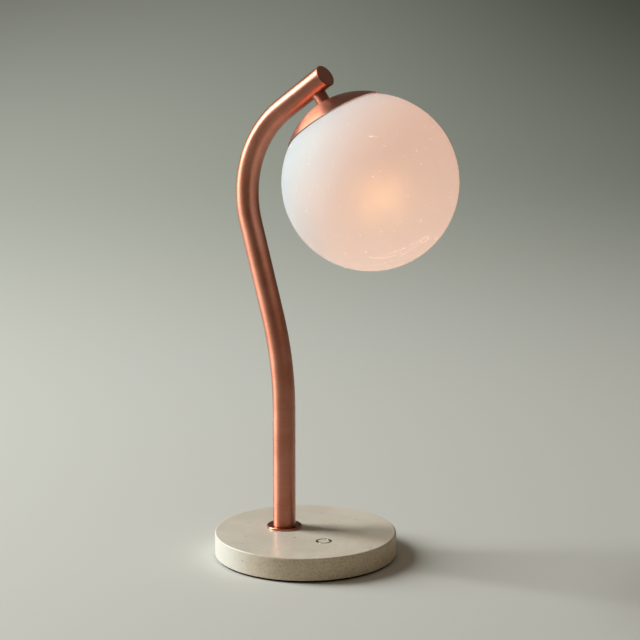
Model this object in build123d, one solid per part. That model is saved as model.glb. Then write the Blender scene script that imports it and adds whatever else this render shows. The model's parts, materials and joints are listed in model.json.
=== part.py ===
from build123d import *
from math import cos, hypot, radians, sin, sqrt, tan
import os

# A cordless table lamp. An opal glass globe hangs under a shallow copper dome from the end
# of a bent copper tube, which stands on a round stone base. The hollow of the base holds
# the battery and the boards, and the light source hangs inside the globe on a short post.
# Millimetres. Origin: the centre of the base on the table. +Z is up, +X points from the
# foot of the tube towards the globe, and the tube bends in the XZ plane.

# ---- Stone base ------------------------------------------------------------------------
stone_diameter = 160.0
stone_thickness = 20.0
stone_top_edge = 1.2          # rounding of the upper rim
stone_bottom_edge = 0.6
pad_thickness = 2.0
pad_inset = 4.0               # the pad stops this far inside the stone
pad_edge = 0.5
plate_thickness = 1.6
plate_land = 10.0             # width of the stone ledge that the plate screws up against
plate_clearance = 0.3

# ---- Inside the base -------------------------------------------------------------------
tray_floor = 1.2
tray_wall = 1.2
tray_wall_height = 5.0
tray_clearance = 0.6          # between the tray and the wall of the hollow
battery_length = 50.0
battery_width = 34.0
battery_thickness = 8.0
battery_x = 12.0
battery_y = 22.0
battery_slack = 0.3
battery_corner = 1.6
foam_thickness = 2.7
foam_inset = 2.0
board_stand_off = 1.6
board_thickness = 1.2
control_board_length = 44.0
control_board_width = 24.0
control_board_shift = 2.5     # towards the rim, clear of the stem's nut
charge_board_length = 32.0
charge_board_width = 12.0
header_length = 4.0
header_width = 6.0
header_height = 3.2
header_grip = 2.0             # how far a header reaches over its board
header_gap = 2.0              # between the two headers side by side
battery_header_setback = 10.0  # from the control board's middle, away from the rim
driver_size = 6.0
driver_place = (-6.0, 1.0)    # from the control board's middle
coil_size = 6.0
coil_height = 3.0
coil_corner = 1.2
coil_place = (1.0, -6.0)
charger_size = 4.0
charger_shift = 2.0           # from the charge board's middle, away from the port
board_screw_diameter = 2.0
board_screw_head = 3.6
board_screw_inset = 2.6
board_screw_end_gap = 0.2     # between a board screw's end and the tray
pillar_rim = 0.4              # pillar seen round a board screw's head
pan_head_share = 0.6          # height of a pan head, in screw diameters
plate_screw_diameter = 3.0
plate_screw_head = 6.0
plate_screw_length = 7.5
plate_screw_count = 4
insert_diameter = 4.8
insert_length = 7.0
core_clearance = 0.05         # round screws and pins in their holes

# ---- Touch control, indicator and charging socket --------------------------------------
touch_x = 30.0
touch_y = -16.0
touch_ring_diameter = 14.0
touch_ring_width = 1.7
touch_ring_depth = 2.0
touch_ring_proud = 0.15
touch_ring_edge = 0.22
touch_leg_diameter = 1.5
contact_height = 3.4
contact_length = 6.8
contact_opening = 2.4         # cut out of the folded strip's free end
contact_width = 2.4
contact_strip = 0.4
indicator_x = 3.0
indicator_y = -21.5
indicator_diameter = 1.6
indicator_recess = 0.1
indicator_collar = 3.6
indicator_collar_height = 1.0
light_chip_length = 1.6
light_chip_width = 1.0
chip_height = 0.9
socket_width = 8.94
socket_height = 3.26
socket_depth = 7.6
socket_sheet = 0.3
socket_recess = 0.8
socket_screw_gap = 3.0        # from the socket to the screw behind it
tongue_setback = 1.6          # behind the socket's mouth
tongue_side_gap = 0.95
tongue_thickness = 0.7
port_wall = 3.0               # stone left between the socket's channel and the rim
bezel_rim = 2.0
bezel_proud = 0.3

# ---- Bent tube -------------------------------------------------------------------------
tube_diameter = 20.0
tube_wall = 1.2
foot_x = -22.8
upright_run = 107.5           # straight, above the stone
lower_bend_radius = 300.0
lean = 16.0                   # degrees back from upright, above the lower bend
lean_run = 83.5
crook_radius = 95.5
arm_slope = 36.5              # degrees above level, towards the globe
arm_run = 52.5
flange_diameter = 31.0
flange_thickness = 2.0
flange_edge = 0.9
insert_plug_length = 14.0
tail_diameter = 10.0
tail_clearance = 0.25
tail_proud = 0.5              # below the nut
stem_washer_diameter = 26.0
stem_washer_thickness = 1.0
stem_nut_size = 16.0          # across the flats
stem_nut_thickness = 3.5
wire_bore = 5.5
end_cap_thickness = 1.5
end_cap_edge = 0.9
end_plug_length = 27.0
plug_bore_margin = 0.5        # the lead turns in the end plug, so its bore is wider

# ---- Head: neck, dome and light source -------------------------------------------------
neck_setback = 13.7           # neck axis to the open end of the tube
neck_diameter = 12.2
neck_show = 8.0               # neck seen between the tube and the dome
dome_rim_diameter = 91.2
dome_rise = 18.3
dome_sheet = 0.8
dome_seat_diameter = 14.0     # flat that the neck stands on
nipple_diameter = 8.0
nipple_bore = 5.0
nipple_clearance = 0.15
nipple_end_gap = 1.0          # at both ends, short of the end of its bore
nipple_nut_size = 13.0
nipple_nut_thickness = 3.0
nut_seat_margin = 0.5         # flat under the dome beyond the nut's corners
gallery_sheet = 1.4
gallery_clearance = 1.2       # under the dome
gasket_thickness = 1.3
gasket_width = 3.9
gasket_side_gap = 0.2         # between the gasket and the glass neck's thread
post_diameter = 16.0
post_length = 67.0
post_bore = 10.0
post_hub_length = 9.0
head_flange_diameter = 39.0
head_flange_thickness = 3.0
spigot_diameter = 36.0
spigot_height = 3.0
led_board_diameter = 31.0
led_board_thickness = 1.2
led_chip_size = 3.0
led_chip_height = 0.7
led_chip_circle = 17.0
led_chip_count = 8
led_screw_circle = 24.6
led_screw_diameter = 2.5
led_screw_head = 4.4
led_screw_length = 4.5
diffuser_wall = 1.35
diffuser_skirt = 15.0
diffuser_clearance = 0.15

# ---- Glass globe -----------------------------------------------------------------------
globe_diameter = 150.0
globe_wall = 2.5
globe_neck_diameter = 54.0
globe_neck_height = 5.0
globe_shoulder_round = 3.0
globe_lip_round = 0.9
neck_thread_clearance = 0.4   # glass neck to gallery
rim_clearance = 0.45          # dome rim to glass, along the neck's axis
gasket_clearance = 0.3
neck_top_clearance = 0.9

# ---- Wires -----------------------------------------------------------------------------
lead_diameter = 2.4
lead_foot_turn = 3.5
lead_tray_turn = 5.0
lead_neck_turn = 6.0
lead_run_out = 5.0            # straight out of its header
wire_diameter = 1.4
wire_spacing = 3.0
charge_first_bend = 0.2       # share of the way from the charge board to the control board
charge_second_bend = 0.75
grommet_length = 4.0
grommet_flange_diameter = 7.6
grommet_flange_thickness = 0.8
grommet_clearance = 0.25

# ---- Levels and radii that follow ------------------------------------------------------
stone_radius = stone_diameter / 2
pad_radius = stone_radius - pad_inset
pad_top = pad_thickness
stone_top = pad_top + stone_thickness
plate_top = pad_top + plate_thickness
tray_top = plate_top + tray_floor
hollow_top = tray_top + battery_thickness + foam_thickness
board_bottom = tray_top + board_stand_off
board_top = board_bottom + board_thickness
wire_level = (board_bottom + board_top) / 2
frame_margin = battery_slack + tray_wall

# The control board lies under both the touch ring and the indicator.
control_board_x = (touch_x + indicator_x) / 2 + control_board_shift
control_board_y = (touch_y + indicator_y) / 2
control_left = control_board_x - control_board_length / 2
header_offset = (header_width + header_gap) / 2
lamp_header_y = control_board_y + header_offset
charge_header_y = control_board_y - header_offset
battery_lead_x = control_board_x - battery_header_setback
battery_reach = hypot(
    abs(battery_x) + battery_length / 2 + frame_margin,
    abs(battery_y) + battery_width / 2 + frame_margin,
)
board_reach = hypot(
    abs(control_board_x) + control_board_length / 2,
    abs(control_board_y) + control_board_width / 2,
)
tray_radius = max(battery_reach, board_reach)
hollow_radius = tray_radius + tray_clearance
plate_radius = hollow_radius + plate_land - plate_clearance
insert_circle = hollow_radius + plate_land / 2

port_level = board_top + socket_height / 2
port_inner = stone_radius - port_wall
charge_board_outer = port_inner - plate_clearance
charge_board_inner = charge_board_outer - charge_board_length
channel_width = charge_board_width + 2 * tray_clearance
channel_top = board_top + socket_height + tray_clearance

touch_ring_radius = touch_ring_diameter / 2
touch_leg_x = touch_x - touch_ring_radius + touch_ring_width / 2

tube_radius = tube_diameter / 2
tube_bore_radius = tube_radius - tube_wall
tail_end = hollow_top - stem_washer_thickness - stem_nut_thickness - tail_proud

# The head's own frame starts where the neck's axis crosses the tube's. Its X runs along
# the tube to the free end and its Z down the neck, so a drop is a distance down the neck.
dome_apex_drop = tube_radius + neck_show
dome_rim_drop = dome_apex_drop + dome_rise
dome_rim_radius = dome_rim_diameter / 2
dome_radius = (dome_rim_radius**2 + dome_rise**2) / (2 * dome_rise)
dome_centre_drop = dome_apex_drop + dome_radius
nipple_radius = nipple_diameter / 2
nut_corner_radius = nipple_nut_size / sqrt(3)


def sphere_drop(centre, radius, r):
    """Drop of a sphere's upper side at the distance r from the neck's axis."""
    return centre - sqrt(radius**2 - r**2)


dome_seat_radius = dome_seat_diameter / 2
dome_seat_drop = sphere_drop(dome_centre_drop, dome_radius, dome_seat_radius)
dome_inner_radius = dome_radius - dome_sheet
inner_seat_radius = nut_corner_radius + nut_seat_margin
inner_seat_drop = sphere_drop(dome_centre_drop, dome_inner_radius, inner_seat_radius)

pan_drop = inner_seat_drop + nipple_nut_thickness
pan_radius = sqrt(dome_inner_radius**2 - (dome_centre_drop - pan_drop) ** 2) - gallery_clearance
globe_neck_radius = globe_neck_diameter / 2
skirt_bore_radius = globe_neck_radius + neck_thread_clearance
skirt_radius = skirt_bore_radius + gallery_sheet
skirt_top = sphere_drop(dome_centre_drop, dome_inner_radius, skirt_radius) + gallery_clearance
globe_lip_drop = skirt_top + gallery_sheet + neck_top_clearance
globe_shoulder_drop = globe_lip_drop + globe_neck_height
gasket_top = globe_shoulder_drop - gasket_clearance - gasket_thickness
rim_inner_radius = sqrt(dome_inner_radius**2 - (dome_centre_drop - dome_rim_drop) ** 2)
globe_radius = globe_diameter / 2
globe_centre_drop = dome_rim_drop + rim_clearance + sqrt(globe_radius**2 - rim_inner_radius**2)

post_top = pan_drop + gallery_sheet + nipple_nut_thickness
post_end = post_top + post_length
nipple_end = post_top + post_hub_length - nipple_end_gap
flange_drop = post_end - spigot_height - head_flange_thickness
spigot_drop = post_end - spigot_height
diffuser_radius = spigot_diameter / 2 + diffuser_clearance + diffuser_wall

ON_BASE = (Align.CENTER, Align.CENTER, Align.MIN)
OVERSHOOT = 1.0               # how far a cut runs past the face it opens


# ---- Small helpers ---------------------------------------------------------------------
def rod(radius, low, high):
    """A round bar about Z between two levels."""
    return Pos(0, 0, low) * Cylinder(radius, high - low, align=ON_BASE)


def ring(outer, inner, low, high):
    """A round bar with a bore right through it."""
    return rod(outer, low, high) - rod(inner, low - OVERSHOOT, high + OVERSHOOT)


def block(length, width, low, high):
    """A rectangular block about Z between two levels."""
    return Pos(0, 0, low) * Box(length, width, high - low, align=ON_BASE)


def lathe(*edges):
    """A turned solid from its half section, drawn as radius and height."""
    return revolve(Plane.XZ * make_face(list(edges)), Axis.Z)


def hex_nut(size, bore_radius, low, high):
    """A hexagon nut about Z, by its size across the flats."""
    outline = RegularPolygon(size / 2, 6, major_radius=False)
    return Pos(0, 0, low) * extrude(outline, high - low) - rod(
        bore_radius, low - OVERSHOOT, high + OVERSHOOT
    )


def pan_screw(head, diameter, seat, length):
    """A pan-head screw whose head rests on the level called seat and points down."""
    head_height = pan_head_share * diameter
    body = rod(head / 2, seat, seat + head_height)
    body = fillet(body.edges().sort_by(Axis.Z)[-1], head_height / 2)
    return body + rod(diameter / 2, seat - length, seat)


def arc_through(centre, radius, r_start, r_end):
    """The upper arc of a circle on the axis, as a half-section edge between two radii."""
    r_middle = (r_start + r_end) / 2
    points = [(r, sphere_drop(centre, radius, r)) for r in (r_start, r_middle, r_end)]
    return ThreePointArc(*points)


def hemisphere(radius, level):
    """Half a ball that stands on a level, its round side up."""
    return Pos(0, 0, level) * Sphere(radius, arc_size1=0, align=ON_BASE)


def swept(route, radius):
    """A round wire or bar along a route."""
    start = Plane(origin=route @ 0, z_dir=route % 0)
    return sweep(start * Circle(radius), path=route)


# ---- The tube's line -------------------------------------------------------------------
def heading(slope_from_vertical):
    """A unit step in the XZ plane; a positive slope leans towards the globe."""
    angle = radians(slope_from_vertical)
    return Vector(sin(angle), 0, cos(angle))


def stem_corners():
    """Foot, the two corners that the bends round off, and the open end of the tube."""
    arm_heading = 90 - arm_slope
    lower_tangent = lower_bend_radius * tan(radians(lean) / 2)
    crook_tangent = crook_radius * tan(radians(lean + arm_heading) / 2)
    foot = Vector(foot_x, 0, stone_top)
    lower = foot + heading(0) * (upright_run + lower_tangent)
    crook = lower + heading(-lean) * (lower_tangent + lean_run + crook_tangent)
    tip = crook + heading(arm_heading) * (crook_tangent + arm_run)
    return foot, lower, crook, tip


FOOT, LOWER_CORNER, CROOK_CORNER, TIP = stem_corners()
ARM = heading(90 - arm_slope)
NECK_POINT = TIP - ARM * neck_setback
NECK_AXIS = Vector(ARM.Z, 0, -ARM.X)
HEAD = Plane(origin=NECK_POINT, x_dir=ARM, z_dir=NECK_AXIS)


# ---- Base ------------------------------------------------------------------------------
def insert_places():
    """Where the four plate screws stand, between the axes."""
    step = 360 / plate_screw_count
    return [Rot(0, 0, step * (i + 0.5)) * Pos(insert_circle, 0, 0) for i in range(plate_screw_count)]


def port_outline(margin, length, outer_x):
    """A lying oval bar at the charging port, from outer_x inwards towards +X."""
    oval = SlotOverall(socket_width + 2 * margin, socket_height + 2 * margin)
    face = Plane(origin=(outer_x, 0, port_level), x_dir=(0, 1, 0), z_dir=(1, 0, 0))
    return extrude(face * oval, length)


def stone_base():
    body = rod(stone_radius, pad_top, stone_top)
    body = fillet(body.edges().sort_by(Axis.Z)[-1], stone_top_edge)
    body = fillet(body.edges().sort_by(Axis.Z)[0], stone_bottom_edge)
    body -= rod(hollow_radius, pad_top - OVERSHOOT, hollow_top)
    body -= rod(plate_radius + plate_clearance, pad_top - OVERSHOOT, plate_top)
    body -= Pos(foot_x, 0) * rod(
        tail_diameter / 2 + tail_clearance, pad_top, stone_top + OVERSHOOT
    )
    for place in insert_places():
        body -= place * rod(insert_diameter / 2, pad_top, plate_top + insert_length)
    channel_length = port_inner - hollow_radius + OVERSHOOT
    body -= Pos(-port_inner + channel_length / 2, 0) * block(
        channel_length, channel_width, pad_top - OVERSHOOT, channel_top
    )
    body -= port_outline(bezel_rim, port_wall + 2 * OVERSHOOT, -stone_radius - OVERSHOOT)
    groove = ring(
        touch_ring_radius,
        touch_ring_radius - touch_ring_width,
        stone_top - touch_ring_depth,
        stone_top + OVERSHOOT,
    )
    body -= Pos(touch_x, touch_y) * groove
    leg_hole = rod(touch_leg_diameter / 2 + core_clearance, pad_top, stone_top - touch_ring_depth)
    body -= Pos(touch_leg_x, touch_y) * leg_hole
    light_hole = rod(indicator_diameter / 2 + core_clearance, pad_top, stone_top + OVERSHOOT)
    return body - Pos(indicator_x, indicator_y) * light_hole


def foot_pad():
    pad = rod(pad_radius, 0, pad_thickness)
    return fillet(pad.edges().sort_by(Axis.Z)[0], pad_edge)


def base_plate():
    plate = rod(plate_radius, pad_top, plate_top)
    for place in insert_places():
        sink = Pos(0, 0, pad_top) * Cone(
            plate_screw_head / 2, plate_screw_diameter / 2, plate_thickness, align=ON_BASE
        )
        plate -= place * sink
    return plate


def plate_screws():
    shank = rod(plate_screw_diameter / 2 - core_clearance, plate_top, pad_top + plate_screw_length)
    head = Pos(0, 0, pad_top) * Cone(
        plate_screw_head / 2, plate_screw_diameter / 2 - core_clearance, plate_thickness, align=ON_BASE
    )
    return [place * (head + shank) for place in insert_places()]


def plate_inserts():
    insert = ring(
        insert_diameter / 2, plate_screw_diameter / 2, plate_top, plate_top + insert_length
    )
    return [place * insert for place in insert_places()]


# ---- Electronics in the hollow ---------------------------------------------------------
def control_screw_places():
    reach_x = control_board_length / 2 - board_screw_inset
    reach_y = control_board_width / 2 - board_screw_inset
    centre = Pos(control_board_x, control_board_y)
    return [centre * Pos(sx * reach_x, sy * reach_y) for sx in (-1, 1) for sy in (-1, 1)]


def charge_screw_places():
    first = charge_board_inner + 2 * header_length
    last = charge_board_outer - socket_depth - socket_screw_gap
    return [Pos(-first, 0), Pos(-last, 0)]


def inner_tray():
    tray = rod(tray_radius, plate_top, tray_top)
    tongue_length = charge_board_outer - tray_radius + tray_clearance + header_width
    tongue = Pos(-charge_board_outer + tongue_length / 2, 0) * block(
        tongue_length, charge_board_width, plate_top, tray_top
    )
    tray += tongue
    frame_height = tray_top + tray_wall_height
    frame = block(
        battery_length + 2 * frame_margin, battery_width + 2 * frame_margin, tray_top, frame_height
    )
    frame -= block(
        battery_length + 2 * battery_slack,
        battery_width + 2 * battery_slack,
        tray_top,
        frame_height + OVERSHOOT,
    )
    notch = Pos(battery_lead_x - battery_x, -battery_width / 2) * block(
        wire_spacing + 2 * wire_diameter,
        2 * (frame_margin + OVERSHOOT),
        tray_top,
        frame_height + OVERSHOOT,
    )
    tray += Pos(battery_x, battery_y) * (frame - notch)
    pillar = rod(board_screw_head / 2 + pillar_rim, tray_top, board_bottom)
    bore = rod(board_screw_diameter / 2, tray_top, board_bottom + OVERSHOOT)
    for place in control_screw_places() + charge_screw_places():
        tray += place * pillar
        tray -= place * bore
    return tray


def battery_pack():
    cell = block(battery_length, battery_width, tray_top, tray_top + battery_thickness)
    cell = fillet(cell.edges().filter_by(Axis.X), battery_corner)
    return Pos(battery_x, battery_y) * cell


def battery_foam():
    low = tray_top + battery_thickness
    foam = block(battery_length - 2 * foam_inset, battery_width - 2 * foam_inset, low, hollow_top)
    return Pos(battery_x, battery_y) * foam


def edge_header():
    """A wire header that straddles a board's edge, its face one header_length out."""
    low = wire_level - header_height / 2
    return Pos((header_grip - header_length) / 2, 0) * block(
        header_length + header_grip, header_width, low, low + header_height
    )


def control_board():
    board = block(control_board_length, control_board_width, board_bottom, board_top)
    board = Pos(control_board_x, control_board_y) * board
    board += Pos(control_left, lamp_header_y) * edge_header()
    board += Pos(control_left, charge_header_y) * edge_header()
    battery_edge = control_board_y + control_board_width / 2
    board += Pos(battery_lead_x, battery_edge) * Rot(0, 0, -90) * edge_header()
    centre = Pos(control_board_x, control_board_y)
    driver = block(driver_size, driver_size, board_top, board_top + chip_height)
    board += centre * Pos(*driver_place) * driver
    coil = block(coil_size, coil_size, board_top, board_top + coil_height)
    coil = fillet(coil.edges().filter_by(Axis.Z), coil_corner)
    board += centre * Pos(*coil_place) * coil
    board += Pos(indicator_x, indicator_y) * block(
        light_chip_length, light_chip_width, board_top, board_top + chip_height
    )
    for place in control_screw_places():
        board -= place * rod(
            board_screw_diameter / 2 + core_clearance, board_bottom - OVERSHOOT, board_top + OVERSHOOT
        )
    return board


def charge_board():
    middle = -(charge_board_outer + charge_board_inner) / 2
    board = Pos(middle, 0) * block(
        charge_board_length, charge_board_width, board_bottom, board_top
    )
    board += Pos(-charge_board_inner, 0) * Rot(0, 0, 180) * edge_header()
    charger = block(charger_size, charger_size, board_top, board_top + chip_height)
    board += Pos(middle + charger_shift, 0) * charger
    for place in charge_screw_places():
        board -= place * rod(
            board_screw_diameter / 2 + core_clearance, board_bottom - OVERSHOOT, board_top + OVERSHOOT
        )
    return board


def board_screws():
    length = board_thickness + board_stand_off - board_screw_end_gap
    screw = pan_screw(board_screw_head, board_screw_diameter - 2 * core_clearance, board_top, length)
    return [place * screw for place in control_screw_places() + charge_screw_places()]


def charging_socket():
    mouth = -(stone_radius - socket_recess)
    shell = port_outline(0, socket_depth, mouth)
    shell -= port_outline(-socket_sheet, socket_depth - 2 * socket_sheet, mouth)
    tongue_length = socket_depth - socket_sheet - tongue_setback
    tongue_width = socket_width - 2 * (socket_sheet + tongue_side_gap)
    tongue = Box(tongue_length, tongue_width, tongue_thickness)
    tongue_x = mouth + socket_depth - socket_sheet - tongue_length / 2
    return shell + Pos(tongue_x, 0, port_level) * tongue


def socket_bezel():
    outer_x = -stone_radius - bezel_proud
    depth = port_wall + bezel_proud
    bezel = port_outline(bezel_rim - core_clearance, depth, outer_x)
    bezel &= rod(stone_radius + bezel_proud, pad_top, stone_top)
    opening = port_outline(core_clearance, depth + 2 * OVERSHOOT, outer_x - OVERSHOOT)
    return bezel - opening


def touch_ring():
    top = stone_top + touch_ring_proud
    band = ring(
        touch_ring_radius - core_clearance,
        touch_ring_radius - touch_ring_width + core_clearance,
        stone_top - touch_ring_depth,
        top,
    )
    band = chamfer(band.edges().group_by(Axis.Z)[-1], touch_ring_edge)
    leg = rod(touch_leg_diameter / 2, board_top + contact_height, stone_top - touch_ring_depth)
    return Pos(touch_x, touch_y) * band + Pos(touch_leg_x, touch_y) * leg


def touch_contact():
    """A folded spring strip on the board that presses up on the touch ring's leg."""
    outside = SlotOverall(contact_length, contact_height)
    inside = SlotOverall(contact_length - 2 * contact_strip, contact_height - 2 * contact_strip)
    open_side = Pos(contact_length / 2, 0) * Rectangle(2 * contact_opening, 2 * contact_height)
    face = Plane(
        origin=(touch_leg_x, touch_y, board_top + contact_height / 2),
        x_dir=(1, 0, 0),
        z_dir=(0, -1, 0),
    )
    return extrude(face * (outside - inside - open_side), contact_width / 2, both=True)


def indicator_lens():
    pipe = rod(indicator_diameter / 2, board_top + chip_height, stone_top - indicator_recess)
    collar = rod(indicator_collar / 2, hollow_top - indicator_collar_height, hollow_top)
    return Pos(indicator_x, indicator_y) * (pipe + collar)


# ---- Stem ------------------------------------------------------------------------------
def stem_tube():
    line = FilletPolyline(
        FOOT, LOWER_CORNER, CROOK_CORNER, TIP, radius=[lower_bend_radius, crook_radius]
    )
    tube = swept(line, tube_radius) - swept(line, tube_bore_radius)
    nipple_hole = HEAD * rod(nipple_radius + nipple_clearance, 0, tube_diameter)
    return tube - nipple_hole


def foot_flange():
    flange = ring(
        flange_diameter / 2, tube_radius + core_clearance, stone_top, stone_top + flange_thickness
    )
    rim = flange.edges().group_by(Axis.Z)[-1].sort_by(SortBy.RADIUS)[-1]
    return Pos(foot_x, 0) * fillet(rim, flange_edge)


def stem_insert():
    plug = rod(tube_bore_radius, stone_top, stone_top + insert_plug_length)
    plug += rod(tail_diameter / 2, tail_end, stone_top)
    plug -= rod(wire_bore / 2, tail_end - OVERSHOOT, stone_top + insert_plug_length + OVERSHOOT)
    return Pos(foot_x, 0) * plug


def stem_washer():
    bore = tail_diameter / 2 + tail_clearance
    low = hollow_top - stem_washer_thickness
    return Pos(foot_x, 0) * ring(stem_washer_diameter / 2, bore, low, hollow_top)


def stem_nut():
    high = hollow_top - stem_washer_thickness
    nut = hex_nut(stem_nut_size, tail_diameter / 2, high - stem_nut_thickness, high)
    return Pos(foot_x, 0) * nut


def tail_grommet():
    bush = rod(wire_bore / 2, tail_end, tail_end + grommet_length)
    bush += rod(grommet_flange_diameter / 2, tail_end - grommet_flange_thickness, tail_end)
    bush -= rod(lead_diameter / 2 + grommet_clearance, 0, stone_top)
    return Pos(foot_x, 0) * bush


def end_plug():
    """The plug that closes the tube's end, cross-bored for the nipple and the lead."""
    along = Rot(0, 90, 0)
    plug = along * rod(tube_bore_radius, neck_setback - end_plug_length, neck_setback)
    cap = rod(tube_radius, neck_setback, neck_setback + end_cap_thickness)
    cap = fillet(cap.edges().sort_by(Axis.Z)[-1], end_cap_edge)
    plug += along * cap
    plug -= along * rod(wire_bore / 2 + plug_bore_margin, -end_plug_length, nipple_radius)
    plug -= rod(nipple_radius, 0, tube_diameter)
    return HEAD * plug


# ---- Head ------------------------------------------------------------------------------
def neck_tube():
    neck = ring(neck_diameter / 2, nipple_radius + nipple_clearance, 0, dome_seat_drop)
    return HEAD * (neck - Rot(0, 90, 0) * rod(tube_radius, -tube_diameter, tube_diameter))


def nipple():
    return HEAD * ring(nipple_radius, nipple_bore / 2, nipple_radius + nipple_end_gap, nipple_end)


def dome_section(seat_radius, seat_drop, sphere_radius, rim_radius, rim_drop):
    """Half section of the space under a dome with a flat seat at its crown."""
    return lathe(
        Line((0, seat_drop), (seat_radius, seat_drop)),
        arc_through(dome_centre_drop, sphere_radius, seat_radius, rim_radius),
        Line((rim_radius, rim_drop), (0, rim_drop)),
        Line((0, rim_drop), (0, seat_drop)),
    )


def shade_cap():
    outside = dome_section(
        dome_seat_radius, dome_seat_drop, dome_radius, dome_rim_radius, dome_rim_drop
    )
    inside = dome_section(
        inner_seat_radius, inner_seat_drop, dome_inner_radius, rim_inner_radius, dome_rim_drop
    )
    hole = rod(nipple_radius + nipple_clearance, 0, dome_rim_drop)
    return HEAD * (outside - inside - hole)


def nipple_nuts():
    upper = hex_nut(nipple_nut_size, nipple_radius, inner_seat_drop, pan_drop)
    lower = hex_nut(nipple_nut_size, nipple_radius, pan_drop + gallery_sheet, post_top)
    return [HEAD * upper, HEAD * lower]


def gallery():
    """The spun ring that the glass neck screws into, closed above by a sloping pan."""
    bore = nipple_radius + nipple_clearance
    inner_pan_radius = pan_radius - gallery_sheet / 2
    section = Polyline(
        (bore, pan_drop),
        (pan_radius, pan_drop),
        (skirt_radius, skirt_top),
        (skirt_radius, gasket_top),
        (skirt_bore_radius, gasket_top),
        (skirt_bore_radius, skirt_top + gallery_sheet),
        (inner_pan_radius, pan_drop + gallery_sheet),
        (bore, pan_drop + gallery_sheet),
        close=True,
    )
    return HEAD * lathe(*section.edges())


def gallery_gasket():
    inner = skirt_bore_radius + gasket_side_gap
    return HEAD * ring(inner + gasket_width, inner, gasket_top, gasket_top + gasket_thickness)


def led_post():
    post = rod(post_diameter / 2, post_top, post_end)
    cone_height = (head_flange_diameter - post_diameter) / 4
    post += Pos(0, 0, flange_drop - cone_height) * Cone(
        post_diameter / 2, head_flange_diameter / 2, cone_height, align=ON_BASE
    )
    post += rod(head_flange_diameter / 2, flange_drop, spigot_drop)
    post += rod(spigot_diameter / 2, spigot_drop, post_end)
    post -= rod(nipple_radius, post_top - OVERSHOOT, post_top + post_hub_length)
    post -= rod(post_bore / 2, post_top + post_hub_length, post_end + OVERSHOOT)
    for place in led_screw_places():
        post -= place * rod(
            led_screw_diameter / 2, post_end - led_screw_length, post_end + OVERSHOOT
        )
    return HEAD * post


def led_screw_places():
    half_step = 180 / led_chip_count
    return [Rot(0, 0, turn + half_step) * Pos(led_screw_circle / 2, 0) for turn in (0, 180)]


def led_board():
    board = rod(led_board_diameter / 2, post_end, post_end + led_board_thickness)
    face = post_end + led_board_thickness
    for i in range(led_chip_count):
        turn = Rot(0, 0, i * 360 / led_chip_count)
        chip = block(led_chip_size, led_chip_size, face, face + led_chip_height)
        board += turn * Pos(led_chip_circle / 2, 0) * chip
    for place in led_screw_places():
        board -= place * rod(
            led_screw_diameter / 2 + core_clearance, post_end - OVERSHOOT, face + OVERSHOOT
        )
    return HEAD * board


def led_screws():
    face = post_end + led_board_thickness
    screw = pan_screw(led_screw_head, led_screw_diameter - 2 * core_clearance, 0, led_screw_length)
    turned_over = Pos(0, 0, face) * screw
    return [HEAD * place * turned_over for place in led_screw_places()]


def led_diffuser():
    centre = spigot_drop + diffuser_skirt
    inner_radius = diffuser_radius - diffuser_wall
    shell = rod(diffuser_radius, spigot_drop, centre) + hemisphere(diffuser_radius, centre)
    shell -= rod(inner_radius, spigot_drop - OVERSHOOT, centre) + hemisphere(inner_radius, centre)
    return HEAD * shell


# ---- Globe -----------------------------------------------------------------------------
def globe_form(inset, lip_drop):
    """The globe's outer form, or its inner one when inset by the wall."""
    radius = globe_radius - inset
    shoulder_drop = globe_shoulder_drop + inset
    neck_radius = globe_neck_radius - inset
    shoulder_radius = sqrt(radius**2 - (globe_centre_drop - shoulder_drop) ** 2)
    equator = (radius, globe_centre_drop)
    pole = (0, globe_centre_drop + radius)
    diagonal = radius * cos(radians(45))
    section = make_face(
        [
            Line((0, lip_drop), (neck_radius, lip_drop)),
            Line((neck_radius, lip_drop), (neck_radius, shoulder_drop)),
            Line((neck_radius, shoulder_drop), (shoulder_radius, shoulder_drop)),
            arc_through_equator(radius, shoulder_radius, equator),
            ThreePointArc(equator, (diagonal, globe_centre_drop + diagonal), pole),
            Line(pole, (0, lip_drop)),
        ]
    )
    corner = section.vertices().sort_by_distance((shoulder_radius, shoulder_drop, 0))[0]
    section = fillet(corner, globe_shoulder_round)
    return revolve(Plane.XZ * section, Axis.Z)


def arc_through_equator(radius, r_start, equator):
    """The arc from the shoulder down to the globe's widest circle."""
    start = (r_start, sphere_drop(globe_centre_drop, radius, r_start))
    r_middle = (r_start + radius) / 2
    middle = (r_middle, sphere_drop(globe_centre_drop, radius, r_middle))
    return ThreePointArc(start, middle, equator)


def glass_globe():
    glass = globe_form(0, globe_lip_drop)
    glass -= globe_form(globe_wall, globe_lip_drop - OVERSHOOT)
    lip = glass.edges().group_by(Axis.Z)[0]
    return HEAD * fillet(lip, globe_lip_round)


# ---- Wires -----------------------------------------------------------------------------
def lamp_lead():
    """One lead from the control board, up the tube and down the nipple to the light source."""
    header_face = Vector(control_left - header_length, lamp_header_y, wire_level)
    line = FilletPolyline(
        header_face,
        header_face - Vector(lead_run_out, 0, 0),
        Vector(foot_x, 0, wire_level),
        LOWER_CORNER,
        CROOK_CORNER,
        NECK_POINT,
        NECK_POINT + NECK_AXIS * post_end,
        radius=[lead_tray_turn, lead_foot_turn, lower_bend_radius, crook_radius, lead_neck_turn],
    )
    return swept(line, lead_diameter / 2)


def battery_leads():
    start = control_board_y + control_board_width / 2 + header_length
    end = battery_y - battery_width / 2
    wires = []
    for side in (-0.5, 0.5):
        x = battery_lead_x + side * wire_spacing
        wires.append(swept(Line((x, start, wire_level), (x, end, wire_level)), wire_diameter / 2))
    return wires


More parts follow.
